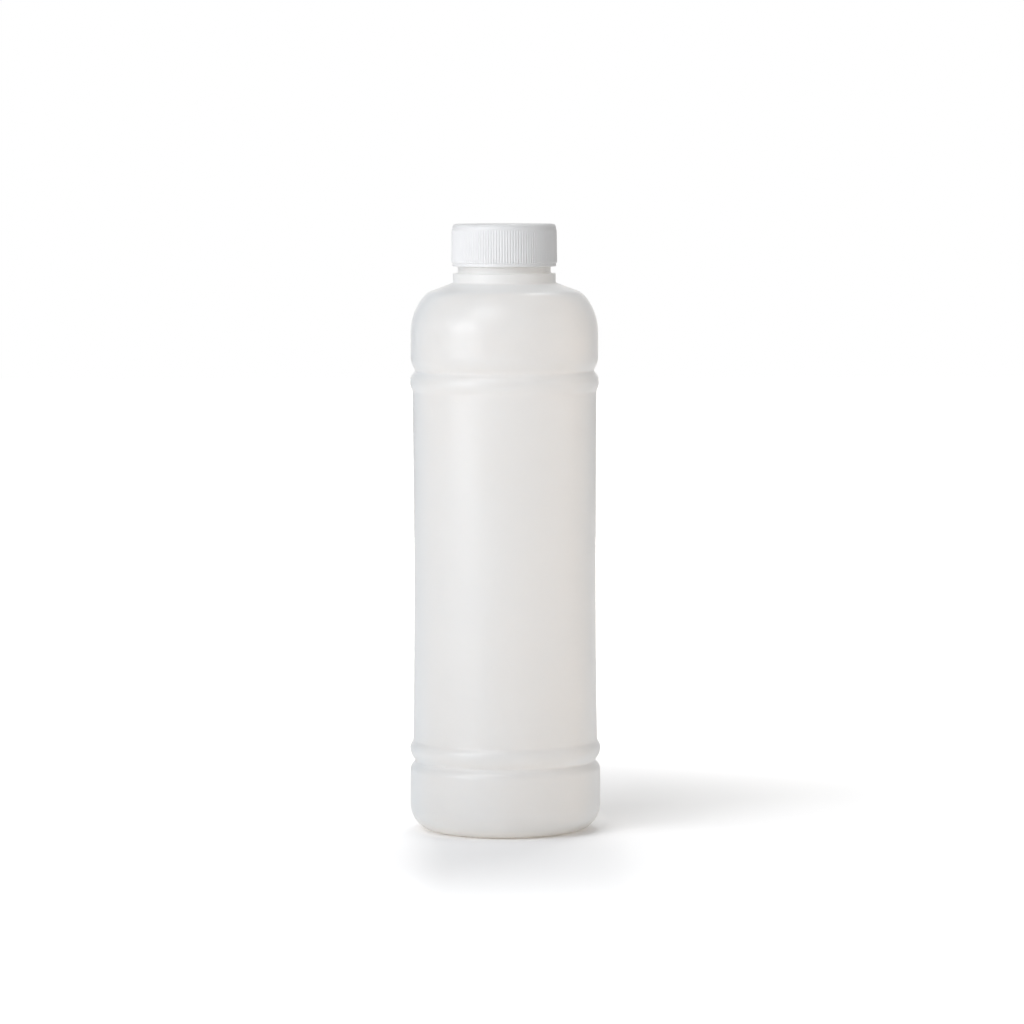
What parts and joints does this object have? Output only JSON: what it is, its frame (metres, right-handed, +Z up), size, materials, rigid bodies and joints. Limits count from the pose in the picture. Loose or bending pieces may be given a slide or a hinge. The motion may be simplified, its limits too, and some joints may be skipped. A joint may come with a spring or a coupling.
{
  "type": "reagent bottle",
  "caption": "Cylindrical blow-moulded plastic reagent bottle with ring grooves and beads, a rounded shoulder, a collared neck and a ribbed screw cap that unscrews.",
  "frame": {"origin": "centre of the flat ring that the bottle stands on, on the surface under it", "axes": "+Z up along the bottle's axis, towards the cap; -Y faces the viewer of the picture, with +X to the right"},
  "size_m": [0.0738, 0.0738, 0.2348],
  "materials": {
    "natural_hdpe": "satin, milky translucent natural polyethylene",
    "white_pp": "satin white polypropylene",
    "liner_foam": "matt foamed polyethylene"
  },
  "bodies": {
    "bottle": {"bottle": "natural_hdpe"},
    "liner": {"cap_liner": "liner_foam"},
    "cap": {"screw_cap": "white_pp"}
  },
  "joints": [
    {"name": "cap_lift", "type": "slide", "parent": "bottle", "child": "liner", "axis": [0, 0, 1], "range_m": [0, 0.01482]},
    {"name": "cap_turn", "type": "hinge", "parent": "liner", "child": "cap", "pos_m": [0, 0, 0.2265], "axis": [0, 0, 1], "range_deg": [0, 1260]}
  ],
  "couplings": [
    {"joint": "cap_lift", "follows": "cap_turn", "m_per_rad": 0.00067376}
  ]
}
